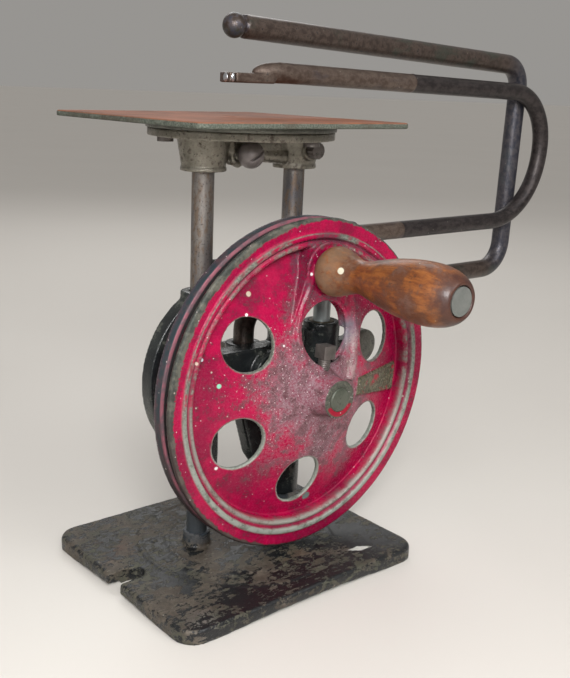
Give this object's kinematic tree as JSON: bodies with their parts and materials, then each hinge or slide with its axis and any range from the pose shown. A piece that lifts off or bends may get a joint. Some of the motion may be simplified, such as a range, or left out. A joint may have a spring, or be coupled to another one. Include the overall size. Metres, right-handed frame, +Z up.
{
  "type": "hand-cranked scroll saw",
  "caption": "Bench scroll saw: a crank wheel drives a reciprocating C-shaped saw frame past a square table on two posts over a flat base.",
  "frame": {"origin": "middle of the base plate's underside", "axes": "+Z up, +X along the base's long edge towards the saw frame's bend, -Y towards the crank handle"},
  "size_m": [0.3852, 0.2152, 0.3222],
  "materials": {
    "base_iron": "worn black paint",
    "post_steel": "dull",
    "black_iron": "black enamel",
    "bush_bronze": "dull",
    "screw_steel": "dull",
    "wheel_red": "worn red enamel",
    "grip_wood": "worn varnish",
    "arm_steel": "dark patina",
    "bracket_iron": "aged nickel",
    "table_steel": "worn copper-brown"
  },
  "bodies": {
    "frame": {"base_plate": "base_iron", "post_left": "post_steel", "post_right": "post_steel", "post_nut_left": "screw_steel", "post_nut_right": "screw_steel", "frame_casting": "black_iron", "frame_screw_left": "screw_steel", "frame_screw_right": "screw_steel", "overarm_screw": "screw_steel", "crank_bush": "bush_bronze", "guide_bush_low": "bush_bronze", "guide_bush_high": "bush_bronze"},
    "crank": {"crank_wheel": "wheel_red", "hub_set_screw": "screw_steel", "crankshaft": "post_steel", "washer_front": "screw_steel", "washer_back": "screw_steel", "eccentric": "screw_steel", "handle_pin": "screw_steel"},
    "grip": {"handle_grip": "grip_wood"},
    "drive_rod": {"connecting_rod": "black_iron", "wrist_pin": "post_steel"},
    "saw_carriage": {"saw_frame": "arm_steel", "plunger_rod": "post_steel", "crosshead": "black_iron", "crosshead_screw": "screw_steel", "blade_bar": "black_iron", "bar_screw_inner": "screw_steel", "bar_screw_outer": "screw_steel", "bar_screw_holder": "screw_steel", "blade_holder": "black_iron"},
    "overarm": {"overarm": "arm_steel"},
    "table": {"table_bracket": "bracket_iron", "bracket_screw": "screw_steel", "table_plate": "bracket_iron", "table_top": "table_steel", "table_screw_1": "screw_steel", "table_screw_2": "screw_steel", "table_screw_3": "screw_steel"},
    "table_clamp": {"table_clamp_screw": "screw_steel"}
  },
  "joints": [
    {"name": "crank_turn", "type": "hinge", "parent": "frame", "child": "crank", "pos_m": [0.0245, 0, 0.114], "axis": [0, 1, 0], "continuous": true},
    {"name": "grip_spin", "type": "hinge", "parent": "crank", "child": "grip", "pos_m": [0.03047, -0.088, 0.18505], "axis": [0, 1, 0], "continuous": true},
    {"name": "rod_swing", "type": "hinge", "parent": "crank", "child": "drive_rod", "pos_m": [0.0295, -0.01, 0.10534], "axis": [0, 1, 0], "continuous": true},
    {"name": "saw_stroke", "type": "slide", "parent": "frame", "child": "saw_carriage", "axis": [0, 0, 1], "range_m": [-0.00117, 0.01883]},
    {"name": "overarm_lift", "type": "slide", "parent": "frame", "child": "overarm", "axis": [0, 0, 1], "range_m": [0, 0.007]},
    {"name": "table_lift", "type": "slide", "parent": "frame", "child": "table", "axis": [0, 0, 1], "range_m": [0, 0.01]},
    {"name": "clamp_turn", "type": "hinge", "parent": "table", "child": "table_clamp", "pos_m": [-0.0024, -0.005, 0.2467], "axis": [0, 1, 0], "range_deg": [0, 90]}
  ],
  "couplings": [
    {"joint": "rod_swing", "follows": "crank_turn", "ratio": -1}
  ]
}
